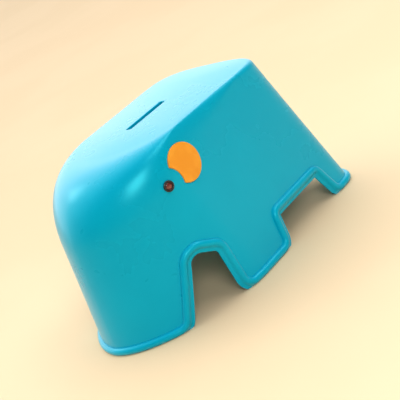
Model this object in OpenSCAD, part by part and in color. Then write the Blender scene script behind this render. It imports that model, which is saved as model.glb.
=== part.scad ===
// Elephant money bank: a splayed one-piece shell standing on trunk and feet,
// with a coin slot in the back and a screwed-in chamber floor with a rubber plug.
// X runs from the tail to the trunk, Y to the elephant's left, Z up from the ground.

/* [Shell] */
// Height of the edges of the back above the ground
body_h = 100; // [85:1:130]
// Length of the shell at the ground
base_len = 190.2; // [165:0.2:240]
// Half of the width at the ground
base_half_w = 59.2; // [50:0.1:75]
// How far each side leans in from the ground to the back
side_lean = 14.8; // [8:0.1:18]
// How far the rear leans in
rear_lean = 19.3; // [8:0.1:24]
// How far the forehead leans in, before it rounds over
front_lean = 15.3; // [6:0.1:20]
// Thickness of the moulded wall
wall_t = 2.2; // [1.8:0.1:4]
// Fillet between the back and the sides
edge_fillet = 2.3; // [1:0.1:4]
// Fillet between the back and the forehead
brow_fillet = 36; // [20:0.1:45]

// How far the back bulges up over its edges
back_crown = 1.5; // [0:0.1:3]

/* [Plan corners] */
// Depth of the rounded rear at the ground
rear_round_base = 20.2; // [12:0.1:40]
// Depth of the rounded rear at the back
rear_round_top = 25.4; // [12:0.1:40]
// Squareness of the rounded rear
rear_square = 3.2; // [2:0.1:4]
// Depth of the rounded nose at the ground
nose_round_base = 80; // [45:0.5:88]
// Depth of the rounded nose at the back
nose_round_top = 46; // [30:0.1:60]
// Squareness of the nose where it leaves the sides
nose_square = 1.7; // [1.4:0.01:2.5]
// Squareness of the nose at its tip
nose_tip_square = 1.8; // [1.6:0.01:2.5]

/* [Legs and arches] */
// Radius of the rolled bead along the lower edge
bead_r = 2.35; // [1.6:0.05:3]
// Depth of the flat that the bead stands on
bead_flat = 0.3; // [0.1:0.05:0.6]
// Length of the trunk's side at the ground
trunk_len = 25.3; // [22:0.1:32]
// Gap between the trunk and the front leg at the ground
neck_gap = 37; // [30:0.1:44]
// How far the trunk's rear edge leans back, up to the top of the neck arch
trunk_lean = 18.5; // [12:0.5:22]
// Height of the neck arch at the trunk
neck_front_z = 43.3; // [35:0.1:50]
// Height of the neck arch at the front leg
neck_rear_z = 32.2; // [28:0.1:40]
// Length of the front leg at the ground
leg_len = 42; // [34:0.1:52]
// How far the front leg's rear edge leans back
leg_lean = 4; // [0:0.5:6]
// Height of the belly arch
belly_z = 22; // [14:0.5:30]
// Length of the hind foot at the ground
hind_len = 27.2; // [18:0.1:30]
// How far the hind foot's front edge leans forward
hind_lean = 8; // [2:0.5:14]
// Width of the hind foot at the ground
hind_w = 21.4; // [18:0.1:30]
// How far the sides of the arch between the hind feet lean in
tail_lean = 3; // [0:0.5:6]
// Radius of the corners at the feet
foot_round = 6; // [2:0.5:7]
// Radius of the neck arch's corner at the trunk
neck_front_round = 10; // [4:0.5:11]
// Radius of the neck arch's corner at the front leg
neck_rear_round = 8; // [4:0.5:10]
// Radius of the upper corners of the other arches
arch_round = 5; // [2:0.5:8]

/* [Coin slot] */
// Length of the coin slot
slot_len = 34; // [28:0.5:42]
// Width of the coin slot
slot_w = 5; // [4.4:0.1:7]
// Corner radius of the coin slot
slot_round = 1; // [0.4:0.1:2]
// Distance from the rear of the back to the middle of the coin slot
slot_from_rear = 69.2; // [56:0.1:76]

/* [Chamber floor] */
// Height of the floor plate above the top of the neck arch
floor_rise = 4; // [3:0.5:8]
// Thickness of the floor plate
floor_t = 2.5; // [1.8:0.1:4]
// Gap between the floor plate and the shell
floor_gap = 0.35; // [0.2:0.05:0.8]
// Diameter of the emptying hole
hole_d = 36; // [30:0.1:44]
// Height of the collar round the emptying hole
collar_h = 3.5; // [2:0.1:6]
// Wall of the collar
collar_t = 2; // [1.4:0.1:3]
// Height of the stiffening rim of the floor plate
rim_h = 5; // [2:0.5:8]
// Wall of the stiffening rim
rim_t = 1.8; // [1.2:0.1:3]

/* [Screws] */
// Radius of the screw bosses
boss_r = 4; // [3.4:0.1:5]
// Height of the screw bosses
boss_h = 14; // [10:0.5:15]
// Major diameter of the screws
screw_d = 3; // [2.5:0.1:3.5]
// Length of the screws under the head
screw_len = 12; // [10:0.5:14]
// Diameter of the screw heads
screw_head_d = 5.6; // [5:0.1:6.5]
// Height of the screw heads
screw_head_h = 2; // [1.6:0.1:2.6]
// Length of the screw's tapered tip
screw_tip = 1; // [0.5:0.1:2]
// Length of the cross recess in the screw heads
recess_len = 3.4; // [2.4:0.1:4]
// Width of the cross recess
recess_w = 0.8; // [0.5:0.1:1.2]
// Depth of the cross recess
recess_depth = 1; // [0.6:0.1:1.4]
// Gap round the screw in the floor plate
screw_gap = 0.25; // [0.1:0.05:0.4]
// Gap round the screw heads in the stiffening rim
head_gap = 0.3; // [0.2:0.1:0.8]
// Gap between the screw bosses and the wall at the floor plate
boss_gap = 0.2; // [0.1:0.1:1]

/* [Rubber plug] */
// Gap round the plug in the emptying hole
plug_gap = 0.1; // [0.05:0.01:0.3]
// How far the flange under the floor reaches past the hole
plug_lip = 3.5; // [2:0.5:6]
// Thickness of the flange
plug_flange_t = 2; // [1.5:0.1:3]
// Depth of the cup inside the plug
plug_cup = 4; // [2:0.1:5]
// Wall of the plug
plug_wall = 2.4; // [1.6:0.1:4]
// Length of the grip under the plug
grip_len = 24; // [16:0.5:30]
// Thickness of the grip
grip_t = 4; // [3:0.1:6]
// Height of the grip
grip_h = 7; // [5:0.5:10]

/* [Ears] */
// Radius of the ear
ear_r = 11.7; // [9:0.1:14]
// Distance of the ear's middle behind the eye
ear_behind_eye = 17.4; // [15:0.1:24]
// Depth of the ear's middle below the back
ear_down = 18.4; // [16:0.1:26]
// Radius of the bite towards the eye
ear_bite_r = 10; // [5:0.1:13]
// Bite: place ahead of the ear's middle
ear_bite_x = 16.9; // [13:0.1:20]
// Bite: height above the ear's middle
ear_bite_z = -4.9; // [-8:0.1:0]
// Radius of the ear's tips
ear_tip_r = 1.2; // [0.8:0.1:2.4]
// Thickness of the ear
ear_t = 1.4; // [1:0.1:2]
// Depth of the recess that the ear sits in
ear_recess = 0.9; // [0.5:0.1:1.2]
// Gap round the ear in its recess
ear_gap = 0.12; // [0.05:0.01:0.3]

/* [Eyes] */
// Diameter of the eye's rim
eye_d = 6.6; // [5.5:0.1:9]
// Distance of the eye behind the tip of the forehead
eye_from_front = 39.4; // [36:0.1:48]
// Depth of the eye below the back
eye_down = 23; // [18:0.1:32]
// Height that the rim stands out
eye_h = 1; // [0.6:0.1:2]
// Diameter of the lens in the rim
lens_d = 3.8; // [3:0.1:5]
// Thickness of the lens
lens_t = 0.8; // [0.5:0.1:0.9]
// Diameter of the eye's shank
shank_d = 3; // [2.4:0.1:4]
// Gap round the shank in the wall, and round the lens in the rim
shank_gap = 0.08; // [0.04:0.01:0.2]
// Gap between the rim and the wall at the middle of the eye
eye_gap = 0.1; // [0.05:0.05:0.4]
// Length of the shank behind the wall
shank_tail = 3; // [2:0.1:5]
// Width of the retaining washer's ring
washer_w = 1.9; // [1.2:0.1:2.5]
// Thickness of the retaining washer
washer_t = 0.8; // [0.5:0.1:1.5]
// Gap between the washer's edge and the wall
washer_gap = 0.5; // [0.3:0.1:1]

/* [Hidden] */
teal = [0.02, 0.66, 0.73];
orange = [0.97, 0.58, 0.15];
black = [0.08, 0.07, 0.07];
$fn = 48;

corner_steps = 12;              // stations round the rear of one half of the plan
side_steps = 6;                 // stations along one side
nose_steps = 16;                // stations round one half of the nose
wall_rows = 5;                  // rings up the wall
fillet_rows = 7;                // rings over the fillet
bead_sides = 10;                // sides of the rolled bead
arc_steps = 5;                  // points on each rounded corner of the lower edge
crown_rows = 4;                 // rings over the crown of the back
crown_reach = 0.95;             // how near the last ring comes to the ridge of the crown
nose_fillet_share = 0.3;        // how much the brow fillet shortens the nose of the back
inner_fillet_share = 0.7;       // how much of the edge fillet the inner face keeps
longest_fillet = 0.9;           // largest share of the wall that a fillet takes
bead_z = bead_r - bead_flat;    // height of the bead's middle at the feet
thread_bite = 0.4;              // how much wider the thread is than the hole it cuts into
pilot_d = screw_d - thread_bite;
pilot_spare = 1.5;              // length of that hole past the screw's point
screw_point_d = pilot_d / 3;    // width of the screw's point
trunk_x = base_len / 2 - trunk_len;         // where the trunk, legs and arches come along X
leg_front_x = trunk_x - neck_gap;
leg_rear_x = leg_front_x - leg_len;
hind_x = hind_len - base_len / 2;
tail_half_w = base_half_w - hind_w;
floor_z = neck_front_z + floor_rise;
slot_x = rear_lean - base_len / 2 + slot_from_rear;
hole_x = slot_x;                            // the emptying hole is right under the slot
eye_x = base_len / 2 - front_lean - eye_from_front;
eye_z = body_h - eye_down;
ear_x = eye_x - ear_behind_eye;
ear_z = body_h - ear_down;
far = 400;                      // longer than the bank
eps = 0.01;                     // small overlap that joins two bodies
past = 1;                       // how far a cut runs past the face that it opens

function mix(a, b, t) = a + (b - a) * t;
function unit(v) = v / norm(v);

// A plan is [half width, rear, front, rear depth, nose depth]
base_plan = [base_half_w, -base_len / 2, base_len / 2, rear_round_base, nose_round_base];
top_plan = [base_half_w - side_lean, -base_len / 2 + rear_lean, base_len / 2 - front_lean,
            rear_round_top, nose_round_top];
back_plan = [top_plan[0] - edge_fillet, top_plan[1] + edge_fillet, top_plan[2] - brow_fillet,
             rear_round_top, nose_round_top - nose_fillet_share * brow_fillet];

// The same plan, moved in by d
function inset(plan, d) = [plan[0] - d, plan[1] + d, plan[2] - d, plan[3] - d, plan[4] - d];
function plan_at(z, d = 0) = inset(mix(base_plan, top_plan, z / body_h), d);

// A point of half a plan: k runs 0 to 1 round the rear, to 2 along the side, to 3 round the nose
function plan_point(plan, k) =
    k <= 1 ? [plan[1] + plan[3] * (1 - pow(cos(90 * k), 2 / rear_square)),
              plan[0] * pow(sin(90 * k), 2 / rear_square)]
    : k <= 2 ? [mix(plan[1] + plan[3], plan[2] - plan[4], k - 1), plan[0]]
    : [plan[2] - plan[4] * (1 - pow(sin(90 * (k - 2)), 2 / nose_square)),
       plan[0] * pow(cos(90 * (k - 2)), 2 / nose_tip_square)];

half_stations = concat([for (i = [0 : corner_steps - 1]) i / corner_steps],
                       [for (i = [0 : side_steps - 1]) 1 + i / side_steps],
                       [for (i = [0 : nose_steps]) 2 + i / nose_steps]);
last_station = len(half_stations) - 1;

function at_z(p, z) = [p[0], p[1], z];
function mirrored(p) = [p[0], -p[1], p[2]];

// The point of the back's ridge that lies nearest to the point p of the back's outline
function ridge_point(p, plan) = [min(max(p[0], plan[1] + plan[3]), plan[2] - plan[4]), 0, p[2]];

// The outer face of a loft moved in by d, at station k: v runs 0 to 1 up the wall, to 2 over the
// fillet and to 3 over the crown of the back
function loft_point(k, v, d, low_z) =
    let (low = at_z(plan_point(plan_at(low_z, d), k), low_z),
         sharp = at_z(plan_point(plan_at(body_h - d, d), k), body_h - d),
         back = at_z(plan_point(inset(back_plan, min(d, edge_fillet * inner_fillet_share)), k), body_h - d),
         start = sharp + (low - sharp) * min(longest_fillet, norm(sharp - back) / norm(low - sharp)),
         t = v - floor(min(v, 2)))
    v <= 1 ? mix(low, start, v)
    : v < 2 ? (1 - t) * (1 - t) * start + 2 * t * (1 - t) * sharp + t * t * back
    : mix(back, ridge_point(back, back_plan), t) + [0, 0, back_crown * (1 - (1 - t) * (1 - t))];

function loft_ring(v, d, low_z) =
    let (half = [for (k = half_stations) loft_point(k, v, d, low_z)])
    concat(half, [for (i = [last_station - 1 : -1 : 1]) mirrored(half[i])]);

// A closed solid through rings that all have the same number of points
module ring_solid(rings) {
    count = len(rings[0]);
    rows = len(rings);
    polyhedron(
        points = [for (ring = rings, p = ring) p],
        faces = concat(
            [[for (i = [count - 1 : -1 : 0]) i]],
            [[for (i = [0 : count - 1]) (rows - 1) * count + i]],
            [for (r = [0 : rows - 2], i = [0 : count - 1]) each
                let (j = (i + 1) % count, a = r * count + i, b = r * count + j)
                [[a, b, b + count], [a, b + count, a + count]]]));
}

module loft(d, low_z) {
    ring_solid(concat([for (r = [0 : wall_rows]) loft_ring(r / wall_rows, d, low_z)],
                      [for (r = [1 : fillet_rows - 1]) loft_ring(1 + r / fillet_rows, d, low_z)],
                      [for (r = [0 : crown_rows]) loft_ring(2 + crown_reach * r / crown_rows, d, low_z)]));
}

// Points on the arc of radius r that rounds the corner q between p and s
function corner(p, q, s, r) =
    let (a = unit(p - q), b = unit(s - q), half = acos(a * b) / 2,
         middle = q + unit(a + b) * r / sin(half),
         from = q + a * r / tan(half) - middle, to = q + b * r / tan(half) - middle)
    [for (i = [0 : arc_steps]) middle + unit(mix(from, to, i / arc_steps)) * r];

// Lower edge of one side as [x, z], from the hind foot to the trunk, with its corner radii
side_corners = [[hind_x, bead_z, foot_round], [hind_x + hind_lean, belly_z, arch_round],
                [leg_rear_x - leg_lean, belly_z, arch_round], [leg_rear_x, bead_z, foot_round],
                [leg_front_x, bead_z, foot_round], [leg_front_x, neck_rear_z, neck_rear_round],
                [trunk_x - trunk_lean, neck_front_z, neck_front_round], [trunk_x, bead_z, foot_round]];
function xz(c) = [c[0], c[1]];
side_ends = [[hind_x - 2 * foot_round, bead_z], [trunk_x + 2 * foot_round, bead_z]];
side_edge = [for (i = [0 : len(side_corners) - 1])
    each corner(i == 0 ? side_ends[0] : xz(side_corners[i - 1]), xz(side_corners[i]),
                i == len(side_corners) - 1 ? side_ends[1] : xz(side_corners[i + 1]),
                side_corners[i][2])];

// Lower edge of half of the rear as [y, z], from the middle to the hind foot
tail_top = [tail_half_w - tail_lean, belly_z];
tail_foot = [tail_half_w, bead_z];
tail_edge = concat(corner([0, belly_z], tail_top, tail_foot, arch_round),
                   corner(tail_top, tail_foot, [tail_half_w + 2 * foot_round, bead_z], foot_round));

// Half width of the face moved in by d, at x and z, and place of the rear face at y and z
function side_y(x, z, d = 0) =
    let (plan = plan_at(z, d), s = (x - plan[2] + plan[4]) / plan[4], r = (plan[1] + plan[3] - x) / plan[3])
    s > 0 ? plan[0] * pow(1 - pow(min(s, 1), nose_square), 1 / nose_tip_square)
    : r > 0 ? plan[0] * pow(1 - pow(min(r, 1), rear_square), 1 / rear_square)
    : plan[0];
function rear_x(y, z) =
    let (plan = plan_at(z))
    plan[1] + plan[3] * (1 - pow(1 - pow(min(y / plan[0], 1), rear_square), 1 / rear_square));

// The stretches of the bead that lie on the ground, at stations k of the plan
function ground_point(k) = at_z(plan_point(plan_at(bead_z), k), bead_z);
function hind_stations() = [for (i = [1 : corner_steps - 1]) let (k = i / corner_steps, p = ground_point(k))
    if (p[1] > tail_half_w + foot_round + 1 && p[0] < hind_x - foot_round - 1) k];
function trunk_stations() = [for (i = [0 : nose_steps]) let (k = 2 + i / nose_steps)
    if (ground_point(k)[0] > trunk_x + foot_round + 1) k];

// A long straight stretch of the edge is cut in steps, so that the bead follows the curved face
function stretched(edge, step) = [for (i = [0 : len(edge) - 2]) each
    let (count = max(1, ceil(norm(edge[i + 1] - edge[i]) / step)))
    [for (n = [0 : count - 1]) mix(edge[i], edge[i + 1], n / count)]];
edge_step = 7;                  // longest of those steps
half_bead = concat(
    [[rear_x(0, belly_z), 0, belly_z]],
    [for (p = stretched(concat(tail_edge, [tail_edge[len(tail_edge) - 1] + [1, 0]]), edge_step))
        [rear_x(p[0], p[1]), p[0], p[1]]],
    [for (k = hind_stations()) ground_point(k)],
    [for (p = stretched(concat(side_edge, [side_edge[len(side_edge) - 1] + [1, 0]]), edge_step))
        [p[0], side_y(p[0], p[1]), p[1]]],
    [for (k = trunk_stations()) ground_point(k)]);
bead_path = concat(half_bead, [for (i = [len(half_bead) - 2 : -1 : 1]) mirrored(half_bead[i])]);

// Level direction that points out of the face at a point
function face_out(p) =
    let (plan = plan_at(p[2]), w = abs(p[1]) / plan[0], side = sign(p[1]),
         s = (p[0] - plan[2] + plan[4]) / plan[4], r = (plan[1] + plan[3] - p[0]) / plan[3])
    s > 0 ? [nose_square * pow(s, nose_square - 1) / plan[4],
             side * nose_tip_square * pow(w, nose_tip_square - 1) / plan[0], 0]
    : r > 0 ? [-pow(r, rear_square - 1) / plan[3], side * pow(w, rear_square - 1) / plan[0], 0]
    : [0, side, 0];

// The rolled bead: a round bar swept along its closed path
bead_count = len(bead_path);
function bead_section(i) =
    let (along = unit(bead_path[(i + 1) % bead_count] - bead_path[(i + bead_count - 1) % bead_count]),
         face = face_out(bead_path[i]),
         out = unit(face - (face * along) * along),
         up = cross(out, along))
    [for (a = [0 : bead_sides - 1])
        bead_path[i] + bead_r * (cos((a + 0.5) * 360 / bead_sides) * out
                                 + sin((a + 0.5) * 360 / bead_sides) * up)];
bead_points = [for (i = [0 : bead_count - 1]) each bead_section(i)];
bead_reach = [for (p = bead_points) p[0]];
x_middle = (min(bead_reach) + max(bead_reach)) / 2;     // middle of the whole bank

module bead() {
    polyhedron(points = bead_points, faces = [for (i = [0 : bead_count - 1], a = [0 : bead_sides - 1]) each
        let (b = (a + 1) % bead_sides, here = i * bead_sides, next = ((i + 1) % bead_count) * bead_sides)
        [[here + a, here + b, next + b], [here + a, next + b, next + a]]]);
}

// What is cut from the wall below the bead
module arch_cuts() {
    rotate([90, 0, 0])
        linear_extrude(far, center = true)
            polygon(concat([[side_edge[0][0], -far]], side_edge,
                           [[side_edge[len(side_edge) - 1][0], -far]]));
    translate([-far / 2 - base_len / 4, 0, 0])
        rotate([90, 0, 90])
            linear_extrude(far, center = true)
                polygon(concat([[tail_edge[len(tail_edge) - 1][0], -far]],
                               [for (i = [len(tail_edge) - 1 : -1 : 0]) tail_edge[i]],
                               [for (p = tail_edge) [-p[0], p[1]]],
                               [[-tail_edge[len(tail_edge) - 1][0], -far]]));
}

// Place on the left side face, and the direction that points out of it
function side_point(x, z, d = 0) = [x, side_y(x, z, d), z];
slope_step = 0.5;               // step over which the slope of the face is measured
function side_out(x, z) =
    unit(cross(side_point(x, z + slope_step) - side_point(x, z),
               side_point(x + slope_step, z) - side_point(x, z)));

// The children, turned so that Z points out of the side face at x and z, on the left
module on_side(x, z) {
    out = side_out(x, z);
    translate(side_point(x, z))
        rotate([0, acos(out[2]), atan2(out[1], out[0])])
            children();
}

// The children, laid on the flat of the left side: X is the bank's X, Y runs up the side
module on_flat(x, z) {
    lean = atan(side_lean / body_h);
    translate([x, side_y(x, z), z])
        rotate([90 + lean, 0, 0])
            mirror([0, 0, 1])
                children();
}

module both_sides() {
    children();
    mirror([0, 1, 0]) children();
}

module ear_outline(grow) {
    offset(r = grow + ear_tip_r)
        offset(delta = -ear_tip_r)
            difference() {
                circle(ear_r);
                translate([ear_bite_x, ear_bite_z]) circle(ear_bite_r);
            }
}

module slot_cut() {
    half_l = slot_len / 2 - slot_round;
    half_w = slot_w / 2 - slot_round;
    translate([slot_x, 0, body_h - 2 * wall_t])
        linear_extrude(3 * wall_t) {
            square([slot_len, 2 * half_w], center = true);
            square([2 * half_l, slot_w], center = true);
            for (sx = [-1, 1], sy = [-1, 1])
                translate([sx * half_l, sy * half_w]) circle(slot_round);
        }
}

// Screw bosses stand just inside the wall, so that the leaning wall takes them in further up
boss_stations = [0.62, 1.5, 2.6];
floor_top = floor_z + floor_t;
function boss_place(k) = plan_point(plan_at(floor_top, wall_t + floor_gap + boss_r + boss_gap), k);

module at_bosses(z) {
    for (k = boss_stations, side = [-1, 1])
        translate([boss_place(k)[0], side * boss_place(k)[1], z])
            children();
}

module body_shell() {
    color(teal)
        difference() {
            union() {
                difference() {
                    loft(0, bead_z);
                    loft(wall_t, bead_z - past);
                    arch_cuts();
                }
                bead();
                at_bosses(floor_top) cylinder(h = boss_h, r = boss_r);
            }
            slot_cut();
            at_bosses(floor_top - past) cylinder(h = screw_len - floor_t + past + pilot_spare, d = pilot_d);
            both_sides() {
                on_flat(ear_x, ear_z)
                    translate([0, 0, -ear_recess])
                        linear_extrude(ear_recess + wall_t) ear_outline(ear_gap);
                on_side(eye_x, eye_z)
                    cylinder(h = 4 * wall_t, d = shank_d + 2 * shank_gap, center = true);
            }
            translate([-far / 2, -far / 2, -far]) cube([far, far, far]);
        }
}

function floor_outline(d) =
    let (half = [for (k = half_stations) plan_point(plan_at(floor_top, wall_t + floor_gap + d), k)])
    concat(half, [for (i = [last_station - 1 : -1 : 1]) [half[i][0], -half[i][1]]]);

module chamber_floor() {
    color(teal)
        difference() {
            union() {
                translate([0, 0, floor_z])
                    linear_extrude(floor_t) polygon(floor_outline(0));
                translate([0, 0, floor_z - rim_h])
                    linear_extrude(rim_h)
                        difference() {
                            polygon(floor_outline(0));
                            polygon(floor_outline(rim_t));
                        }
                translate([hole_x, 0, floor_z])
                    cylinder(h = floor_t + collar_h, d = hole_d + 2 * collar_t);
            }
            translate([hole_x, 0, floor_z - past])
                cylinder(h = floor_t + collar_h + 2 * past, d = hole_d);
            at_bosses(floor_z - past) cylinder(h = floor_t + 2 * past, d = screw_d + 2 * screw_gap);
            at_bosses(floor_z - rim_h - past)
                cylinder(h = rim_h + past, d = screw_head_d + 2 * head_gap);
        }
}

module floor_screws() {
    color("silver")
        at_bosses(0) {
            difference() {
                translate([0, 0, floor_z - screw_head_h])
                    cylinder(h = screw_head_h, d = screw_head_d);
                for (turn = [0, 90])
                    translate([0, 0, floor_z - screw_head_h])
                        rotate(turn) cube([recess_len, recess_w, 2 * recess_depth], center = true);
            }
            translate([0, 0, floor_z - eps]) cylinder(h = screw_len - screw_tip + eps, d = pilot_d);
            translate([0, 0, floor_z + screw_len - screw_tip])
                cylinder(h = screw_tip, d1 = pilot_d, d2 = screw_point_d);
        }
}

module emptying_plug() {
    plug_h = floor_t + collar_h;
    color([0.2, 0.2, 0.22])
        translate([hole_x, 0, floor_z])
            difference() {
                union() {
                    cylinder(h = plug_h, d = hole_d - 2 * plug_gap);
                    translate([0, 0, -plug_flange_t])
                        cylinder(h = plug_flange_t, d = hole_d + 2 * plug_lip);
                    translate([-grip_len / 2, -grip_t / 2, -plug_flange_t - grip_h])
                        cube([grip_len, grip_t, grip_h + eps]);
                }
                translate([0, 0, plug_h - plug_cup])
                    cylinder(h = plug_cup + past, d = hole_d - 2 * plug_gap - 2 * plug_wall);
            }
}

module ear_left() {
    color(orange)
        on_flat(ear_x, ear_z)
            translate([0, 0, -ear_recess])
                linear_extrude(ear_t) ear_outline(0);
}

// The rim, its shank through the wall and the pocket for the lens
lens_z = eye_gap + eye_h - lens_t;

// The hollow inner face comes furthest in somewhere round the edge of the washer
washer_hole_d = shank_d + 2 * shank_gap;
washer_d = washer_hole_d + 2 * washer_w;
eye_out = side_out(eye_x, eye_z);
washer_middle = side_point(eye_x, eye_z) - wall_t * eye_out;
washer_edge = [for (a = [0 : 30 : 330])
    let (x = washer_middle[0] + washer_d / 2 * cos(a), z = washer_middle[2] + washer_d / 2 * sin(a))
    (side_point(eye_x, eye_z) - side_point(x, z, wall_t)) * eye_out];
eye_wall = max(washer_edge);

module eye_rim_left() {
    shank_len = eye_wall + shank_tail;
    color(black)
        on_side(eye_x, eye_z)
            difference() {
                union() {
                    translate([0, 0, eye_gap]) cylinder(h = eye_h, d = eye_d);
                    translate([0, 0, -shank_len]) cylinder(h = shank_len + eye_gap + eps, d = shank_d);
                }
                translate([0, 0, lens_z]) cylinder(h = lens_t + past, d = lens_d + 2 * shank_gap);
            }
}

module eye_lens_left() {
    color([0.3, 0.1, 0.08])
        on_side(eye_x, eye_z)
            translate([0, 0, lens_z]) cylinder(h = lens_t, d = lens_d);
}

module eye_washers() {
    color("silver")
        both_sides()
            on_side(eye_x, eye_z)
                translate([0, 0, -eye_wall - washer_gap - washer_t])
                    difference() {
                        cylinder(h = washer_t, d = washer_d);
                        translate([0, 0, -past]) cylinder(h = washer_t + 2 * past, d = washer_hole_d);
                    }
}

// The children, moved so that the middle of the whole bank is at the origin
module placed() {
    translate([-x_middle, 0, 0]) children();
}

placed() body_shell();
placed() chamber_floor();
placed() floor_screws();
placed() emptying_plug();
placed() ear_left();
placed() mirror([0, 1, 0]) ear_left();  // ear_right
placed() eye_rim_left();
placed() mirror([0, 1, 0]) eye_rim_left();  // eye_rim_right
placed() eye_lens_left();
placed() mirror([0, 1, 0]) eye_lens_left();  // eye_lens_right
placed() eye_washers();
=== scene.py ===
import math

import bpy
from mathutils import Matrix, Vector


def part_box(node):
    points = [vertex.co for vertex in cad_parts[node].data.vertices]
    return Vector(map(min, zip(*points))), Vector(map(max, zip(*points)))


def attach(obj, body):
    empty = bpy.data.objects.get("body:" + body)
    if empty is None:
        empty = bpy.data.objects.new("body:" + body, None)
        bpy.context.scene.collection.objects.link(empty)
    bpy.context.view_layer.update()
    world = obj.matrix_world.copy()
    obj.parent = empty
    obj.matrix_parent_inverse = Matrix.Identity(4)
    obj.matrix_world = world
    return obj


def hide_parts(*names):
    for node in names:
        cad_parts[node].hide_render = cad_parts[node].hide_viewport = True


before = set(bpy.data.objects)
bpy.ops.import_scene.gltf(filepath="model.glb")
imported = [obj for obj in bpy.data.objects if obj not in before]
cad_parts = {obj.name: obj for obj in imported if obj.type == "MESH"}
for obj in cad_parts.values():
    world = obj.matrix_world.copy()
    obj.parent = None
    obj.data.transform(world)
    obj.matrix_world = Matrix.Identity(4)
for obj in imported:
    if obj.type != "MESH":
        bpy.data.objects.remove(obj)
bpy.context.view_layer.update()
shellHigh = Vector(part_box("body_shell")[1])
print("frame loaded:", len(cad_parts), "nodes")

# All lengths are in metres.
shell = {
    "length": 0.1902, "halfWidth": 0.0592,                        # at the ground
    "height": 0.1, "crown": 0.0015,                               # the back's edges, and its rise over them
    "sideLean": 0.0148, "rearLean": 0.0193, "frontLean": 0.0153,  # how far the walls lean in, ground to back
    "wall": 0.0022,
    "edgeFillet": 0.0023, "browFillet": 0.036, "browNoseShare": 0.3, "longestFillet": 0.9,
    "rearRound": (0.0202, 0.0254), "noseRound": (0.080, 0.046),   # depths at the ground and at the back
    "rearSquare": 3.2, "noseSquare": 1.7, "noseTipSquare": 1.8,
    "columns": (36, 24, 56),                                      # points round rear, side and nose
    "wallRows": 26, "filletRows": 18, "crownRows": 10,
}
# The bead runs along the lower edge, so its settings place the trunk, the legs and the arches too.
bead = {
    "radius": 0.00235, "flat": 0.0003, "cadSides": 10,
    "blend": 0.0025, "sink": 0.00003, "outset": 0.00005, "root": 0.0006, "rootDepth": 0.0002,
    "backRise": (0.6, 0.8),                                       # of the radius, inside the wall
    "step": 0.0022, "arcSteps": 12, "blendSteps": 12, "outerSteps": 18, "innerSteps": 10, "groundSteps": 400,
    "trunkLen": 0.0247, "neckGap": 0.0388, "trunkLean": 0.0185, "neckFront": 0.0443, "neckRear": 0.0332,
    "legLen": 0.0402, "legLean": 0.004, "belly": 0.0232, "hindLen": 0.0262, "hindLean": 0.008,
    "hindWidth": 0.0214, "tailLean": 0.003,
    "footRound": 0.006, "neckFrontRound": 0.010, "neckRearRound": 0.008, "archRound": 0.005,
}

height = shell["height"]
halfWidth = shell["halfWidth"]
beadZ = bead["radius"] - bead["flat"]
beadLean = shell["frontLean"] * beadZ / height
cadBeadReach = bead["radius"] * math.cos(math.pi / bead["cadSides"])  # to a flat of the many-sided bead
frontX = shellHigh.x + beadLean - cadBeadReach
rearX = frontX - shell["length"]


def mix(a, b, t):
    return a + (b - a) * t


def power(value, exponent):
    return max(value, 0.0) ** exponent


# The outer face is worked out from plans: half width, rear, front, depth of the rear and of the nose.
basePlan = (halfWidth, rearX, frontX, shell["rearRound"][0], shell["noseRound"][0])
topPlan = (halfWidth - shell["sideLean"], rearX + shell["rearLean"], frontX - shell["frontLean"],
           shell["rearRound"][1], shell["noseRound"][1])
backPlan = (topPlan[0] - shell["edgeFillet"], topPlan[1] + shell["edgeFillet"],
            topPlan[2] - shell["browFillet"], topPlan[3],
            topPlan[4] - shell["browNoseShare"] * shell["browFillet"])


def planAt(z, inset=0.0):
    halfW, rear, front, rearDepth, noseDepth = (mix(a, b, z / height) for a, b in zip(basePlan, topPlan))
    return halfW - inset, rear + inset, front - inset, rearDepth - inset, noseDepth - inset


def planPoint(plan, k, z):  # k runs 0 to 1 round the rear, to 2 along the side, to 3 round the nose
    halfW, rear, front, rearDepth, noseDepth = plan
    if k <= 1:
        turn = k * math.pi / 2
        return Vector((rear + rearDepth * (1 - power(math.cos(turn), 2 / shell["rearSquare"])),
                       halfW * power(math.sin(turn), 2 / shell["rearSquare"]), z))
    if k <= 2:
        return Vector((mix(rear + rearDepth, front - noseDepth, k - 1), halfW, z))
    turn = (k - 2) * math.pi / 2
    return Vector((front - noseDepth * (1 - power(math.sin(turn), 2 / shell["noseSquare"])),
                   halfW * power(math.cos(turn), 2 / shell["noseTipSquare"]), z))


def facePoint(k, v):  # v runs 0 to 1 up the wall, to 2 over the fillet, to 3 over the crown of the back
    low = planPoint(planAt(beadZ), k, beadZ)
    sharp = planPoint(topPlan, k, height)
    back = planPoint(backPlan, k, height)
    share = min(shell["longestFillet"], (sharp - back).length / (low - sharp).length)
    start = sharp + (low - sharp) * share
    if v <= 1:
        return low.lerp(start, v)
    if v <= 2:
        t = v - 1
        return start * (1 - t) ** 2 + sharp * 2 * t * (1 - t) + back * t * t
    t = v - 2
    ridgeX = min(max(back.x, backPlan[1] + backPlan[3]), backPlan[2] - backPlan[4])
    return back.lerp(Vector((ridgeX, 0, height)), t) + Vector((0, 0, shell["crown"] * (1 - (1 - t) ** 2)))


def sideY(x, z):
    halfW, rear, front, rearDepth, noseDepth = planAt(z)
    ahead = (x - front + noseDepth) / noseDepth
    behind = (rear + rearDepth - x) / rearDepth
    if ahead > 0:
        return halfW * power(1 - power(min(ahead, 1), shell["noseSquare"]), 1 / shell["noseTipSquare"])
    if behind > 0:
        return halfW * power(1 - power(min(behind, 1), shell["rearSquare"]), 1 / shell["rearSquare"])
    return halfW


def rearFaceX(y, z):
    halfW, rear, front, rearDepth, noseDepth = planAt(z)
    across = power(1 - power(min(y / halfW, 1), shell["rearSquare"]), 1 / shell["rearSquare"])
    return rear + rearDepth * (1 - across)


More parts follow.
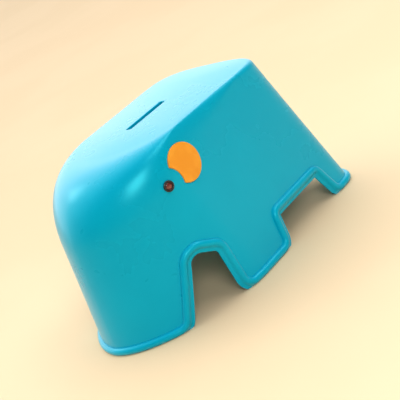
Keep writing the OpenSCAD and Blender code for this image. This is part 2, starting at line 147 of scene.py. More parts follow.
def faceField(point):  # grows outwards through the face
    halfW, rear, front, rearDepth, noseDepth = planAt(point.z)
    across = abs(point.y) / halfW
    ahead = (point.x - front + noseDepth) / noseDepth
    behind = (rear + rearDepth - point.x) / rearDepth
    if ahead > 0:
        return ahead ** shell["noseSquare"] + across ** shell["noseTipSquare"]
    if behind > 0:
        return behind ** shell["rearSquare"] + across ** shell["rearSquare"]
    return across ** shell["noseTipSquare"]


def faceNormal(point, step=0.00002):
    slope = Vector()
    for axis in range(3):
        offset = Vector()
        offset[axis] = step
        slope[axis] = faceField(point + offset) - faceField(point - offset)
    return slope.normalized()


def deselectAll():
    if bpy.context.mode != "OBJECT":
        bpy.ops.object.mode_set(mode="OBJECT")
    bpy.ops.object.select_all(action="DESELECT")


def activate(piece):
    deselectAll()
    piece.select_set(True)
    bpy.context.view_layer.objects.active = piece


def editAll(piece):
    activate(piece)
    bpy.ops.object.mode_set(mode="EDIT")
    bpy.ops.mesh.select_all(action="SELECT")


def faceOutwards():
    bpy.ops.mesh.select_all(action="SELECT")
    bpy.ops.mesh.normals_make_consistent(inside=False)
    bpy.ops.object.mode_set(mode="OBJECT")


def weld(piece, distance=0.000002):
    editAll(piece)
    bpy.ops.mesh.remove_doubles(threshold=distance)
    faceOutwards()


def newGrid(name, columns, rows, place):  # a grid whose points are moved to place(u, v), u and v from 0 to 1
    deselectAll()
    bpy.ops.mesh.primitive_grid_add(x_subdivisions=columns, y_subdivisions=rows, size=2)
    piece = bpy.context.active_object
    piece.name = name
    for vertex in piece.data.vertices:
        vertex.co = place((vertex.co.x + 1) / 2, (vertex.co.y + 1) / 2)
    return piece


def newLoft(name, rings, seam=0.0000005):  # a closed solid through rings with equal numbers of points
    count = len(rings[0])
    last = len(rings) - 1
    piece = newGrid(name, count, last, lambda u, v: rings[round(v * last)][round(u * count) % count])
    weld(piece, seam)
    editAll(piece)
    bpy.ops.mesh.fill_holes(sides=0)
    faceOutwards()
    return piece


def newPrism(name, outline, lift):  # an outline of points, pushed along lift
    deselectAll()
    bpy.ops.mesh.primitive_circle_add(vertices=len(outline), radius=1, fill_type="NGON")
    piece = bpy.context.active_object
    piece.name = name
    for vertex, point in zip(piece.data.vertices, outline):
        vertex.co = point
    editAll(piece)
    bpy.ops.mesh.extrude_region_move(TRANSFORM_OT_translate={"value": lift})
    faceOutwards()
    return piece


def newCylinder(name, radius, start, axis, depth, vertices=48):
    deselectAll()
    turn = Vector((0, 0, 1)).rotation_difference(axis.normalized()).to_euler()
    bpy.ops.mesh.primitive_cylinder_add(vertices=vertices, radius=radius, depth=depth,
                                        location=start + axis.normalized() * depth / 2, rotation=turn)
    piece = bpy.context.active_object
    piece.name = name
    bpy.ops.object.transform_apply(location=True, rotation=True, scale=True)
    return piece


def applyModifier(piece, kind, **settings):
    activate(piece)
    modifier = piece.modifiers.new(kind.title(), kind)
    for key, value in settings.items():
        setattr(modifier, key, value)
    bpy.ops.object.modifier_apply(modifier=modifier.name)


def combine(piece, tool, operation):
    applyModifier(piece, "BOOLEAN", object=tool, operation=operation, solver="EXACT")
    bpy.data.objects.remove(tool, do_unlink=True)


def mirrorAcross(point):
    return Vector((point.x, -point.y, point.z))


def finish(piece, rides, node, angle=30):
    activate(piece)
    bpy.ops.object.shade_smooth_by_angle(angle=math.radians(angle))
    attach(piece, rides)
    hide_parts(node)


def otherSide(piece, name):  # a copy on the elephant's right, with its own mesh
    activate(piece)
    bpy.ops.object.duplicate()
    copy = bpy.context.active_object
    copy.name = name
    editAll(copy)
    bpy.ops.transform.mirror(constraint_axis=(False, True, False), orient_type="GLOBAL",
                             center_override=(0, 0, 0))
    faceOutwards()
    bpy.ops.object.transform_apply(location=True, rotation=True, scale=True)
    return copy


# The lower edge, which the bead follows
trunkX = frontX - bead["trunkLen"]
legFrontX = trunkX - bead["neckGap"]
legRearX = legFrontX - bead["legLen"]
hindX = rearX + bead["hindLen"]
tailHalf = halfWidth - bead["hindWidth"]


def roundCorner(before, corner, after, radius):
    a, b = (before - corner).normalized(), (after - corner).normalized()
    half = a.angle(b) / 2
    middle = corner + (a + b).normalized() * radius / math.sin(half)
    start = corner + a * radius / math.tan(half) - middle
    end = corner + b * radius / math.tan(half) - middle
    return [middle + start.lerp(end, i / bead["arcSteps"]).normalized() * radius
            for i in range(bead["arcSteps"] + 1)]


def roundedEdge(first, corners, last):  # each corner is two coordinates and a radius
    points = [Vector(first)] + [Vector(corner[:2]) for corner in corners] + [Vector(last)]
    edge = []
    for i, corner in enumerate(corners):
        edge += roundCorner(points[i], points[i + 1], points[i + 2], corner[2])
    return edge


foot = bead["footRound"]
sideEdge = roundedEdge(
    (hindX - 2 * foot, beadZ),
    [(hindX, beadZ, foot), (hindX + bead["hindLean"], bead["belly"], bead["archRound"]),
     (legRearX - bead["legLean"], bead["belly"], bead["archRound"]), (legRearX, beadZ, foot),
     (legFrontX, beadZ, foot), (legFrontX, bead["neckRear"], bead["neckRearRound"]),
     (trunkX - bead["trunkLean"], bead["neckFront"], bead["neckFrontRound"]), (trunkX, beadZ, foot)],
    (trunkX + 2 * foot, beadZ))
tailEdge = roundedEdge((0, bead["belly"]),
                       [(tailHalf - bead["tailLean"], bead["belly"], bead["archRound"]),
                        (tailHalf, beadZ, foot)], (tailHalf + 2 * foot, beadZ))


def stretched(edge):
    points = []
    for here, there in zip(edge, edge[1:]):
        count = max(1, math.ceil((there - here).length / bead["step"]))
        points += [here.lerp(there, i / count) for i in range(count)]
    return points + [edge[-1]]


def thinned(points):
    kept = [points[0]]
    for point in points[1:]:
        if (point - kept[-1]).length >= bead["step"]:
            kept.append(point)
    return kept


def beadPath():
    apart = 0.0005  # between the last point of an edge and the next point on the ground
    groundPlan = planAt(beadZ)
    ground = [planPoint(groundPlan, 3 * i / bead["groundSteps"], beadZ)
              for i in range(bead["groundSteps"] + 1)]
    hindRing = [p for p in ground if p.y > tailEdge[-1].x + apart and p.x < sideEdge[0].x - apart]
    trunkRing = [p for p in ground if p.x > sideEdge[-1].x + apart]
    tailPath = stretched([Vector((0, bead["belly"]))] + tailEdge)
    half = [Vector((rearFaceX(p.x, p.y), p.x, p.y)) for p in tailPath]
    half += thinned(hindRing)
    half += [Vector((p.x, sideY(p.x, p.y), p.y)) for p in stretched(sideEdge)]
    half += thinned(trunkRing[:-1]) + [trunkRing[-1]]
    return half + [mirrorAcross(p) for p in reversed(half[1:-1])]


def beadProfile():  # outwards from the face, and up into the wall
    radius, blend, wall = bead["radius"], bead["blend"], shell["wall"]
    rise = math.sqrt(radius ** 2 + 2 * radius * blend)
    meet = math.atan2(rise, blend)
    root = rise + bead["root"]
    points = [(-wall / 2, root), (-bead["rootDepth"], root)]
    for i in range(bead["blendSteps"] + 1):  # hollow blend into the outer face
        turn = math.pi + meet * i / bead["blendSteps"]
        points.append((blend - bead["sink"] + blend * math.cos(turn), rise + blend * math.sin(turn)))
    for i in range(1, bead["outerSteps"] + 1):
        turn = meet - (meet + math.pi / 2) * i / bead["outerSteps"]
        points.append((radius * math.cos(turn), radius * math.sin(turn)))
    reach = wall + bead["outset"]
    for i in range(1, bead["innerSteps"] + 1):
        turn = math.pi / 2 * i / bead["innerSteps"]
        points.append((-reach * math.sin(turn), -radius * math.cos(turn)))
    lower, upper = (radius * share for share in bead["backRise"])
    return points + [(-wall, lower), (-wall / 2, upper)]


def buildBead():
    profile = beadProfile()
    path = beadPath()
    frames = []
    for i, point in enumerate(path):
        along = (path[(i + 1) % len(path)] - path[i - 1]).normalized()
        normal = faceNormal(point)
        out = (normal - along * normal.dot(along)).normalized()
        frames.append((point, out, out.cross(along)))

    def place(u, v):
        point, out, up = frames[round(u * len(frames)) % len(frames)]
        reach, rise = profile[round(v * len(profile)) % len(profile)]
        spot = point + out * reach + up * rise
        spot.z = max(spot.z, 0.0)
        return spot

    piece = newGrid("bead", len(frames), len(profile), place)
    weld(piece)
    return piece


def buildShell():
    rear, side, nose = shell["columns"]
    stations = [i / rear for i in range(rear)]
    stations += [1 + i / side for i in range(side)]
    stations += [2 + i / nose for i in range(nose + 1)]
    ring = stations + [-k for k in reversed(stations[1:-1])]
    rows = [i / shell["wallRows"] for i in range(shell["wallRows"])]
    rows += [1 + i / shell["filletRows"] for i in range(shell["filletRows"])]
    rows += [2 + i / shell["crownRows"] for i in range(shell["crownRows"] + 1)]

    def place(u, v):
        k = ring[round(u * len(ring)) % len(ring)]
        point = facePoint(abs(k), rows[round(v * (len(rows) - 1))])
        return mirrorAcross(point) if k < 0 else point

    piece = newGrid("moulded_shell", len(ring), len(rows) - 1, place)
    weld(piece)
    applyModifier(piece, "SOLIDIFY", thickness=shell["wall"], offset=-1, use_even_offset=True)
    return piece


def cutArches(piece):
    low = -0.02        # below the ground
    beside = 0.2       # well outside the shell
    behind = rearX - 0.05
    side = [Vector((sideEdge[0].x, -beside, low))] + [Vector((p.x, -beside, p.y)) for p in sideEdge]
    side.append(Vector((sideEdge[-1].x, -beside, low)))
    combine(piece, newPrism("side_cutter", side, (0, 2 * beside, 0)), "DIFFERENCE")
    half = [Vector((behind, p.x, p.y)) for p in tailEdge]
    tail = [Vector((behind, tailEdge[-1].x, low))] + half[::-1]
    tail += [mirrorAcross(p) for p in half] + [Vector((behind, -tailEdge[-1].x, low))]
    depth = 0.08       # through the rear wall only
    combine(piece, newPrism("tail_cutter", tail, (depth, 0, 0)), "DIFFERENCE")


slot = {"length": 0.034, "width": 0.005, "round": 0.001, "fromRear": 0.0692, "edge": 0.0005}


def roundedBox(length, width, radius, grow, steps=6):  # outline in a level plane
    points = []
    for sx, sy, start in ((1, 1, 0), (-1, 1, 1), (-1, -1, 2), (1, -1, 3)):
        for i in range(steps + 1):
            turn = (start + i / steps) * math.pi / 2
            points.append(Vector((sx * (length / 2 - radius) + (radius + grow) * math.cos(turn),
                                  sy * (width / 2 - radius) + (radius + grow) * math.sin(turn), 0)))
    return points


# Pairs of growth and height of a cutter that leaves a rounded edge round its opening
def flared(depth, edge, above=0.001, steps=6):
    rows = [(0, -depth), (0, -edge)]
    for i in range(1, steps + 1):
        turn = i / steps * math.pi / 2
        rows.append((edge * (1 - math.cos(turn)), -edge + edge * math.sin(turn)))
    return rows + [(edge, above)]


def cutSlot(piece):
    middle = Vector((rearX + shell["rearLean"] + slot["fromRear"], 0, height + shell["crown"]))
    rings = [[middle + point + Vector((0, 0, up))
              for point in roundedBox(slot["length"], slot["width"], slot["round"], grow)]
             for grow, up in flared(3 * shell["wall"], slot["edge"])]
    combine(piece, newLoft("slot_cutter", rings), "DIFFERENCE")


boss = {
    "radius": 0.004, "height": 0.014, "gap": 0.00055, "pilot": 0.0013, "pilotDepth": 0.012,
    "stations": (0.62, 1.5, 2.6),  # round the plan, as in planPoint
    "collar": 0.0035,              # height of the collar on the chamber floor
    "overlap": 0.001,
}


def addBosses(piece):
    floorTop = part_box("chamber_floor")[1][2] - boss["collar"]
    inset = shell["wall"] + boss["gap"] + boss["radius"]
    places = []
    for k in boss["stations"]:
        point = planPoint(planAt(floorTop, inset), k, floorTop)
        places += [point, mirrorAcross(point)]
    up = Vector((0, 0, 1))
    for point in places:
        combine(piece, newCylinder("boss", boss["radius"], point, up, boss["height"]), "UNION")
    for point in places:
        pilot = newCylinder("pilot", boss["pilot"], point - up * boss["overlap"], up,
                            boss["pilotDepth"] + boss["overlap"], 24)
        combine(piece, pilot, "DIFFERENCE")


ear = {
    "radius": 0.0117, "bite": (0.0169, -0.0049), "biteRadius": 0.010, "tip": 0.0012, "thick": 0.0014,
    "recess": 0.0009, "gap": 0.00012, "groove": 0.00025, "edge": 0.0003, "pillow": 0.00015,
    "middle": (-0.0025, 0.0), "underEdge": 0.0001, "edgeSteps": 6,
    "rings": (0.95, 0.85, 0.7, 0.5, 0.3, 0.12),  # of the face, as shares of the outline
    "backSteps": 60, "biteSteps": 20, "tipSteps": 8,
}

# The ear lies on the flat of the side: u runs along the bank, v up the slope, w out of it.
lean = math.atan(shell["sideLean"] / height)
slopeUp = Vector((0, -math.sin(lean), math.cos(lean)))
slopeOut = Vector((0, math.cos(lean), math.sin(lean)))
earLow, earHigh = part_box("ear_left")
earX = earLow[0] + ear["radius"]
earZ = earHigh[2] - ear["radius"] * math.cos(lean) - (ear["thick"] - ear["recess"]) * math.sin(lean)
earFoot = Vector((earX, sideY(earX, earZ), earZ))


def onEar(u, v, w):
    return earFoot + Vector((u, 0, 0)) + slopeUp * v + slopeOut * w


def arc(centre, radius, start, end, steps):
    turns = (start + (end - start) * i / steps for i in range(steps + 1))
    return [centre + radius * Vector((math.cos(turn), math.sin(turn))) for turn in turns]


# Where a circle round the origin meets another, the upper point first
def circlesMeet(radius, other, otherRadius):
    along = (radius ** 2 - otherRadius ** 2 + other.length_squared) / (2 * other.length)
    across = math.sqrt(radius ** 2 - along ** 2)
    forward = other.normalized()
    side = Vector((-forward.y, forward.x))
    return forward * along + side * across, forward * along - side * across


def angleOf(vector):
    return math.atan2(vector.y, vector.x)


def earOutline(grow):
    bite = Vector(ear["bite"])
    upper, lower = circlesMeet(ear["radius"] - ear["tip"], bite, ear["biteRadius"] + ear["tip"])
    full = 2 * math.pi
    tip = ear["tip"] + grow
    points = arc(Vector((0, 0)), ear["radius"] + grow, angleOf(upper), angleOf(lower) + full,
                 ear["backSteps"])
    points += arc(lower, tip, angleOf(lower), angleOf(bite - lower), ear["tipSteps"])[1:]
    points += arc(bite, ear["biteRadius"] - grow, angleOf(lower - bite) + full,
                  angleOf(upper - bite), ear["biteSteps"])[1:]
    points += arc(upper, tip, angleOf(bite - upper), angleOf(upper), ear["tipSteps"])[1:-1]
    return points


def cutEars(piece):
    for side in (1, -1):
        rings = [[onEar(p.x, p.y, w) for p in earOutline(ear["gap"] + grow)]
                 for grow, w in flared(ear["recess"], ear["groove"])]
        if side < 0:
            rings = [[mirrorAcross(p) for p in ring] for ring in rings]
        combine(piece, newLoft("ear_cutter", rings), "DIFFERENCE")


def buildEar():
    top = ear["thick"] - ear["recess"]
    edge = ear["edge"]
    under = ear["underEdge"]
    rings = [[onEar(p.x, p.y, -ear["recess"]) for p in earOutline(-under)],
             [onEar(p.x, p.y, -ear["recess"] + under) for p in earOutline(0)]]
    for i in range(ear["edgeSteps"] + 1):
        turn = i / ear["edgeSteps"] * math.pi / 2
        rings.append([onEar(p.x, p.y, top - edge * (1 - math.sin(turn)))
                      for p in earOutline(-edge * (1 - math.cos(turn)))])
    middle = Vector(ear["middle"])
    for share in ear["rings"]:  # the face rises a little towards its middle
        rise = top + ear["pillow"] * (1 - share ** 2)
        rings.append([onEar(*(middle + (p - middle) * share), rise) for p in earOutline(-edge)])
    return newLoft("ear_left_inlay", rings)


eye = {
    "radius": 0.0033, "height": 0.0011, "shank": 0.0015, "shankGap": 0.00008, "tail": 0.0053,
    "tailEdge": 0.0003, "tailTaper": (0.3, 0.8),                  # of the shank's radius
    "skirt": 0.0002, "skirtUp": 0.00002, "rimFoot": 0.0004, "rimSteps": 12,
    "pocketUp": 0.0003, "fullness": 0.8,
    "lens": 0.0019, "lensGap": 0.00008, "lensUp": 0.0007, "lensEdge": 0.00055, "dome": 0.0004,
    "lensOff": 0.00001, "lensSteps": 10, "tip": 0.0002,
}


def sideNormal(x, z, step=0.0005):
    here = Vector((x, sideY(x, z), z))
    ahead = Vector((x + step, sideY(x + step, z), z)) - here
    above = Vector((x, sideY(x, z + step), z + step)) - here
    return above.cross(ahead).normalized()


lensLow, lensHigh = (Vector(corner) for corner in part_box("eye_lens_left"))
lensMiddle = (lensLow + lensHigh) / 2
eyeAxis = sideNormal(lensMiddle.x, lensMiddle.z)
eyeFoot = lensMiddle - eyeAxis * eye["lensUp"]


# A closed solid turned about the eye's axis, from pairs of radius and height
def turned(name, profile, sides=48):
    across = eyeAxis.orthogonal().normalized()
    upward = eyeAxis.cross(across)
    turns = [2 * math.pi * i / sides for i in range(sides)]
    rings = [[eyeFoot + eyeAxis * rise + radius * (across * math.cos(turn) + upward * math.sin(turn))
              for turn in turns] for radius, rise in profile]
    return newLoft(name, rings)


def cutEyes(piece):
    depth = 3 * shell["wall"]
    reach = 0.004  # out past the face
    for turn in (lambda v: v, mirrorAcross):
        hole = newCylinder("shank_hole", eye["shank"] + eye["shankGap"], turn(eyeFoot - eyeAxis * depth),
                           turn(eyeAxis), depth + reach)
        combine(piece, hole, "DIFFERENCE")


def buildEyeRim():
    shank, radius, tail = eye["shank"], eye["radius"], eye["tail"]
    pocket = eye["lens"] + eye["lensGap"]
    profile = [(shank * share, -tail) for share in eye["tailTaper"]]
    profile += [(shank, -tail + eye["tailEdge"]), (shank, 0),
                (radius - eye["skirt"], eye["skirtUp"]), (radius, eye["skirt"])]
    middle = (radius + pocket) / 2
    for i in range(eye["rimSteps"] + 1):  # the domed ring
        turn = math.pi * i / eye["rimSteps"]
        bulge = (eye["height"] - eye["rimFoot"]) * math.sin(turn) ** eye["fullness"]
        profile.append((middle + (radius - pocket) / 2 * math.cos(turn), eye["rimFoot"] + bulge))
    profile += [(pocket, eye["pocketUp"]), (eye["tip"], eye["pocketUp"])]
    return turned("eye_left_rim", profile)


def buildLens():
    radius = eye["lens"]
    low = eye["pocketUp"] + eye["lensOff"]
    profile = [(eye["tip"], low), (radius, low), (radius, eye["lensEdge"])]
    for i in range(1, eye["lensSteps"]):  # the domed glass
        turn = i / eye["lensSteps"] * math.pi / 2
        profile.append((radius * math.cos(turn), eye["lensEdge"] + eye["dome"] * math.sin(turn)))
    return turned("eye_left_lens", profile)


body = buildShell()
print("shell skin built")
cutArches(body)
print("arches cut")
combine(body, buildBead(), "UNION")
print("bead joined")
addBosses(body)
print("bosses added")
cutSlot(body)
cutEars(body)
cutEyes(body)
finish(body, "root", "body_shell", angle=32)
print("shell:", len(body.data.polygons), "faces")

leftEar = buildEar()
rightEar = otherSide(leftEar, "ear_right_inlay")
finish(leftEar, "root", "ear_left")
finish(rightEar, "root", "ear_right")
print("ears built")

leftRim = buildEyeRim()
leftLens = buildLens()
rightRim = otherSide(leftRim, "eye_right_rim")
rightLens = otherSide(leftLens, "eye_right_lens")
finish(leftRim, "root", "eye_rim_left")
finish(rightRim, "root", "eye_rim_right")
finish(leftLens, "root", "eye_lens_left")
finish(rightLens, "root", "eye_lens_right")
print("eyes built")

fittings = {"plateEdge": 0.0004, "plugEdge": 0.0006, "screwEdge": 0.0002, "washerEdge": 0.00015,
            "merge": 0.000005, "flat": 0.5, "corner": 35}  # flat and corner in degrees


def softened(node, name, width, segments=3):  # a copy of a CAD node with its edges rounded
    activate(bpy.data.objects[node])
    bpy.ops.object.duplicate()
    copy = bpy.context.active_object
    copy.name = name
    editAll(copy)
    bpy.ops.mesh.remove_doubles(threshold=fittings["merge"])
    bpy.ops.mesh.select_all(action="SELECT")
    bpy.ops.mesh.dissolve_limited(angle_limit=math.radians(fittings["flat"]))
    bpy.ops.object.mode_set(mode="OBJECT")
    applyModifier(copy, "BEVEL", width=width, segments=segments, limit_method="ANGLE",
                  angle_limit=math.radians(fittings["corner"]), use_clamp_overlap=True, harden_normals=False)
    return copy


plate = softened("chamber_floor", "chamber_floor_plate", fittings["plateEdge"])
finish(plate, "root", "chamber_floor")
screws = softened("floor_screws", "floor_screw_set", fittings["screwEdge"], 2)
finish(screws, "root", "floor_screws")
plug = softened("emptying_plug", "rubber_plug", fittings["plugEdge"], 4)
finish(plug, "plug", "emptying_plug")
washers = softened("eye_washers", "eye_washer_pair", fittings["washerEdge"], 2)
finish(washers, "root", "eye_washers")
print("floor, screws, plug and washers softened")


class Wire:  # a socket that can stand in an expression
    def __init__(self, owner, socket):
        self.owner = owner
        self.socket = socket

    def maths(self, operation, first, second):
        return self.owner.add("Math", {"operation": operation}, {0: first, 1: second})

    def __add__(self, other):
        return self.maths("ADD", self, other)

    def __sub__(self, other):
        return self.maths("SUBTRACT", self, other)

    def __rsub__(self, other):
        return self.maths("SUBTRACT", other, self)

    def __mul__(self, other):
        return self.maths("MULTIPLY", self, other)

    __radd__ = __add__
    __rmul__ = __mul__


class Finish:  # a material and its nodes
    def __init__(self, name):
        self.material = bpy.data.materials.new(name)
        self.material.use_nodes = True
        self.nodes = self.material.node_tree.nodes
        self.links = self.material.node_tree.links
        self.shader = self.nodes["Principled BSDF"]
        self.place = self.add("TexCoord", {}, {}, "Object")

    def add(self, kind, settings, inputs, output=0):
        node = self.nodes.new("ShaderNode" + kind)
        for key, value in settings.items():
            setattr(node, key, value)
        for key, value in inputs.items():
            self.feed(node.inputs[key], value)
        return Wire(self, node.outputs[output])

    def feed(self, socket, value):
        if isinstance(value, Wire):
            self.links.new(value.socket, socket)
        else:
            socket.default_value = value

    def noise(self, scale, detail=3.0, roughness=0.5, distortion=0.0):
        return self.add("TexNoise", {}, {"Vector": self.place, "Scale": scale, "Detail": detail,
                                         "Roughness": roughness, "Distortion": distortion})

    def within(self, value, low, high):  # 0 up to the first limit, 1 from the second, smooth between them
        return self.add("MapRange", {"interpolation_type": "SMOOTHSTEP"},
                        {"Value": value, "From Min": low, "From Max": high})

    def blend(self, share, first, second):
        return self.add("Mix", {"data_type": "RGBA"}, {0: share, 6: first, 7: second}, 2)

    def bump(self, height, strength, distance, under=None):
        inputs = {"Height": height, "Strength": strength, "Distance": distance}
        if under is not None:
            inputs["Normal"] = under
        return self.add("Bump", {}, inputs)

    def set(self, **values):
        for key, value in values.items():
            self.feed(self.shader.inputs[key.replace("_", " ")], value)
        return self.material


def colour(red, green, blue):
    return (red, green, blue, 1)


# In the next settings a noise is scale, detail, roughness and distortion, a bump is strength and depth,
# and limits are the values between which a share goes from 0 to 1.
moulding = {
    "outside": {"deep": (0.0, 0.36, 0.55), "light": (0.0, 0.385, 0.58), "worn": (0.25, 0.55, 0.62),
                "roughness": 0.27, "grain": 0.03, "level": 0.8},
    "inside": {"deep": (0.002, 0.33, 0.42), "light": (0.002, 0.37, 0.46), "worn": (0.2, 0.5, 0.55),
               "roughness": 0.55, "grain": 0.35, "level": 0.3},
    "glint": (0.1, 0.8, 0.85),
    "cloud": (14, 4, 0.55), "cloudShare": 0.7, "flow": (45, 3, 0.6, 0.6), "flowShare": 0.3,
    "toneLimits": (0.36, 0.64), "footLimits": (0.0022, 0.0004), "spotLimits": (0.45, 0.62),
    "rubSpots": (420, 2), "rubShare": 0.45, "rubRough": 0.2, "toneRough": 0.02,
    "peel": (260, 2), "peelBump": (0.04, 0.0002), "grainNoise": (2600, 2, 0.6), "grainDepth": 0.00006,
}


def turquoiseMoulding(name, side):
    paint = Finish(name)
    cloud = paint.noise(*moulding["cloud"]) * moulding["cloudShare"]
    flow = paint.noise(*moulding["flow"]) * moulding["flowShare"]
    share = paint.within(cloud + flow, *moulding["toneLimits"])
    tone = paint.blend(share, colour(*side["deep"]), colour(*side["light"]))
    height = paint.add("SeparateXYZ", {}, {0: paint.place}, 2)
    spots = paint.within(paint.noise(*moulding["rubSpots"]), *moulding["spotLimits"])
    rub = paint.within(height, *moulding["footLimits"]) * spots  # where it stands on the table
    tone = paint.blend(rub * moulding["rubShare"], tone, colour(*side["worn"]))
    peel = paint.bump(paint.noise(*moulding["peel"]), *moulding["peelBump"])
    grain = paint.bump(paint.noise(*moulding["grainNoise"]), side["grain"], moulding["grainDepth"], peel)
    roughness = side["roughness"] + rub * moulding["rubRough"] + share * moulding["toneRough"]
    return paint.set(Base_Color=tone, Roughness=roughness, Normal=grain, Specular_IOR_Level=side["level"],
                     Specular_Tint=colour(*moulding["glint"]))


# The pale tone is a painted highlight. It lightens the ear's sharp edges, where the bevel would catch the
# light.
inlay = {"deep": (0.82, 0.30, 0.012), "light": (0.86, 0.345, 0.02), "paintedHighlight": (0.95, 0.62, 0.22),
         "cloud": (120, 3, 0.6, 0.4), "toneLimits": (0.36, 0.64), "highlightEdgeLimits": (0.53, 0.62),
         "paintedHighlightShare": 0.7, "roughness": 0.42, "toneRough": 0.08, "level": 0.4,
         "grain": (2400, 2), "grainBump": (0.12, 0.00006)}


def orangeInlay():
    paint = Finish("orange_inlay")
    share = paint.within(paint.noise(*inlay["cloud"]), *inlay["toneLimits"])
    tone = paint.blend(share, colour(*inlay["deep"]), colour(*inlay["light"]))
    # Painted highlight: a pale tone on the ear's convex edges, found by pointiness.
    edge = paint.within(paint.add("NewGeometry", {}, {}, "Pointiness"), *inlay["highlightEdgeLimits"])
    tone = paint.blend(edge * inlay["paintedHighlightShare"], tone, colour(*inlay["paintedHighlight"]))
    grain = paint.bump(paint.noise(*inlay["grain"]), *inlay["grainBump"])
    return paint.set(Base_Color=tone, Roughness=inlay["roughness"] + share * inlay["toneRough"],
                     Normal=grain, Specular_IOR_Level=inlay["level"])


rim = {"deep": (0.008, 0.006, 0.007), "light": (0.02, 0.017, 0.018), "wear": (900, 4, 0.6),
       "wearLimits": (0.5, 0.7), "roughness": 0.28, "wearRough": 0.2,
       "grain": (3000, 2), "grainBump": (0.1, 0.00005)}


def blackRim():
    paint = Finish("black_eye_rim")
    wear = paint.within(paint.noise(*rim["wear"]), *rim["wearLimits"])
    tone = paint.blend(wear, colour(*rim["deep"]), colour(*rim["light"]))
    return paint.set(Base_Color=tone, Roughness=rim["roughness"] + wear * rim["wearRough"],
                     Normal=paint.bump(paint.noise(*rim["grain"]), *rim["grainBump"]))


lens = {"deep": (0.11, 0.012, 0.012), "light": (0.19, 0.03, 0.022), "depth": (700, 2),
        "depthLimits": (0.35, 0.65), "roughness": 0.12, "depthRough": 0.08,
        "coat": 0.6, "coatRoughness": 0.06}


def redLens():
    paint = Finish("red_eye_lens")
    depth = paint.within(paint.noise(*lens["depth"]), *lens["depthLimits"])
    tone = paint.blend(depth, colour(*lens["deep"]), colour(*lens["light"]))
    return paint.set(Base_Color=tone, Roughness=lens["roughness"] + depth * lens["depthRough"],
                     Coat_Weight=lens["coat"], Coat_Roughness=lens["coatRoughness"])


rubber = {"clean": (0.028, 0.028, 0.031), "dusty": (0.085, 0.082, 0.078), "dust": (160, 5, 0.65),
          "dustLimits": (0.52, 0.68), "dustShare": 0.5, "roughness": 0.68, "dustRough": 0.18, "level": 0.35,
          "skin": (1500, 3), "skinBump": (0.25, 0.00008)}


def greyRubber():
    paint = Finish("grey_rubber")
    dust = paint.within(paint.noise(*rubber["dust"]), *rubber["dustLimits"])
    tone = paint.blend(dust * rubber["dustShare"], colour(*rubber["clean"]), colour(*rubber["dusty"]))
    return paint.set(Base_Color=tone, Roughness=rubber["roughness"] + dust * rubber["dustRough"],
                     Normal=paint.bump(paint.noise(*rubber["skin"]), *rubber["skinBump"]),
                     Specular_IOR_Level=rubber["level"])


steel = {"screwTone": (0.62, 0.63, 0.66), "screwSpangle": 900, "washerTone": (0.5, 0.5, 0.52),
         "washerSpangle": 1200,
         "stainScale": 0.7, "stain": (4, 0.6), "stainLimits": (0.45, 0.7),
         "stainShare": 0.6, "stainTone": 0.55, "stainMetal": 0.15,
         "roughness": 0.24, "spangleRough": 0.14, "stainRough": 0.15,
         "grain": (3200, 2), "grainBump": (0.12, 0.00005)}


def zincSteel(name, tone, scale):
    paint = Finish(name)
    spangle = paint.add("TexVoronoi", {}, {"Vector": paint.place, "Scale": scale}, "Color")
    grey = paint.add("RGBToBW", {}, {0: spangle})
    stain = paint.within(paint.noise(scale * steel["stainScale"], *steel["stain"]), *steel["stainLimits"])
    dull = colour(*(part * steel["stainTone"] for part in tone))
    shade = paint.blend(stain * steel["stainShare"], colour(*tone), dull)
    roughness = steel["roughness"] + grey * steel["spangleRough"] + stain * steel["stainRough"]
    return paint.set(Base_Color=shade, Metallic=1.0 - stain * steel["stainMetal"], Roughness=roughness,
                     Normal=paint.bump(paint.noise(*steel["grain"]), *steel["grainBump"]))


def dress(material, *pieces):
    for piece in pieces:
        piece.data.materials.clear()
        piece.data.materials.append(material)


dress(turquoiseMoulding("turquoise_moulding", moulding["outside"]), body)
dress(turquoiseMoulding("matt_turquoise", moulding["inside"]), plate)
dress(orangeInlay(), leftEar, rightEar)
dress(blackRim(), leftRim, rightRim)
dress(redLens(), leftLens, rightLens)
dress(zincSteel("zinc_screws", steel["screwTone"], steel["screwSpangle"]), screws)
dress(zincSteel("spring_steel", steel["washerTone"], steel["washerSpangle"]), washers)
dress(greyRubber(), plug)
print("materials made")

camera = {
    "azimuth": 39.75, "elevation": 20.53, "roll": -27.77,     # degrees: from the left side towards the trunk
    "distance": 0.6265, "lens": 89.06, "sensor": 36, "near": 0.01,
    "aim": (-0.01449, -0.00157, 0.03439),                     # from the middle of the shell's length
}


def addCamera():
    azimuth, elevation, roll = (math.radians(camera[key]) for key in ("azimuth", "elevation", "roll"))
    back = Vector((math.sin(azimuth) * math.cos(elevation), math.cos(azimuth) * math.cos(elevation),
                   math.sin(elevation)))
    level = Vector((0, 0, 1)).cross(back).normalized()
    steep = back.cross(level)
    right = level * math.cos(roll) + steep * math.sin(roll)
    up = steep * math.cos(roll) - level * math.sin(roll)
    data = bpy.data.cameras.new("camera")
    data.lens = camera["lens"]
    data.sensor_width = camera["sensor"]
    data.clip_start = camera["near"]
    item = bpy.data.objects.new("camera", data)
    turn = Matrix((right, up, back)).transposed().to_4x4()
    aim = Vector(camera["aim"]) + Vector(((frontX + rearX) / 2, 0, 0))
    item.matrix_world = Matrix.Translation(aim + back * camera["distance"]) @ turn
    bpy.context.scene.collection.objects.link(item)
    bpy.context.scene.camera = item


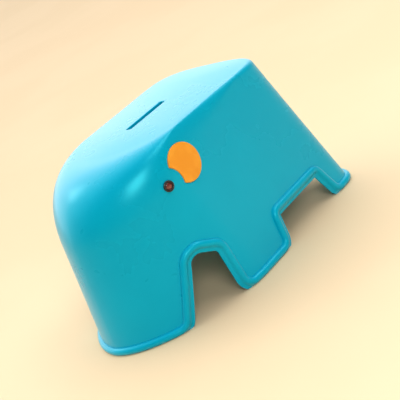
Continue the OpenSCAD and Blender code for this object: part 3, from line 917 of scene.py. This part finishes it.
studio = {
    "size": 8, "deep": (0.79, 0.61, 0.395), "light": (0.805, 0.625, 0.41), "cloud": (5, 3),
    "cloudLimits": (0.4, 0.6), "roughness": 0.8, "level": 0.1,
    "air": (1.0, 0.99, 0.97), "window": (-0.25, -0.85, 0.45),  # the bright side of the room
    "glow": {"From Min": 0.0, "From Max": 0.95, "To Min": 0.2, "To Max": 2.2},
    "lightsAim": (0, 0, 0.05),
    "lights": {
        "overhead": {"place": (-0.35, 0.5, 1.05), "size": (1.0, 0.45), "energy": 4.8, "tint": (1, 1, 1)},
        "front_light": {"place": (0.65, 1.05, 0.75), "size": (0.5, 0.5), "energy": 8,
                        "tint": (1, 0.99, 0.97)},
        "brow_light": {"place": (0.3, -1.5, 1.5), "size": (0.7, 0.5), "energy": 4.5, "tint": (1, 1, 1)},
    },
}


def addFloor():
    deselectAll()
    bpy.ops.mesh.primitive_plane_add(size=studio["size"], location=(0, 0, 0))
    floor = bpy.context.active_object
    floor.name = "floor"
    paint = Finish("pale_floor")
    share = paint.within(paint.noise(*studio["cloud"]), *studio["cloudLimits"])
    tone = paint.blend(share, colour(*studio["deep"]), colour(*studio["light"]))
    floor.data.materials.append(paint.set(Base_Color=tone, Roughness=studio["roughness"],
                                          Specular_IOR_Level=studio["level"]))


def addArea(name, place, size, energy, tint):
    data = bpy.data.lights.new(name, "AREA")
    data.shape = "RECTANGLE"
    data.size, data.size_y = size
    data.energy = energy
    data.color = tint
    item = bpy.data.objects.new(name, data)
    item.location = place
    item.rotation_euler = (Vector(studio["lightsAim"]) - Vector(place)).to_track_quat("-Z", "Y").to_euler()
    bpy.context.scene.collection.objects.link(item)


def addRoom():  # light from all round, brighter towards the window
    world = bpy.data.worlds.new("studio")
    world.use_nodes = True
    nodes, links = world.node_tree.nodes, world.node_tree.links
    bearing = nodes.new("ShaderNodeTexCoord")
    towards = nodes.new("ShaderNodeVectorMath")
    towards.operation = "DOT_PRODUCT"
    towards.inputs[1].default_value = Vector(studio["window"]).normalized()
    glow = nodes.new("ShaderNodeMapRange")
    glow.interpolation_type = "SMOOTHSTEP"
    for key, value in studio["glow"].items():
        glow.inputs[key].default_value = value
    nodes["Background"].inputs["Color"].default_value = colour(*studio["air"])
    links.new(bearing.outputs["Generated"], towards.inputs[0])
    links.new(towards.outputs["Value"], glow.inputs["Value"])
    links.new(glow.outputs["Result"], nodes["Background"].inputs["Strength"])
    bpy.context.scene.world = world


addCamera()
addFloor()
for name, light in studio["lights"].items():
    addArea(name, **light)
addRoom()
bpy.context.scene.view_settings.view_transform = "Standard"
print("studio set")
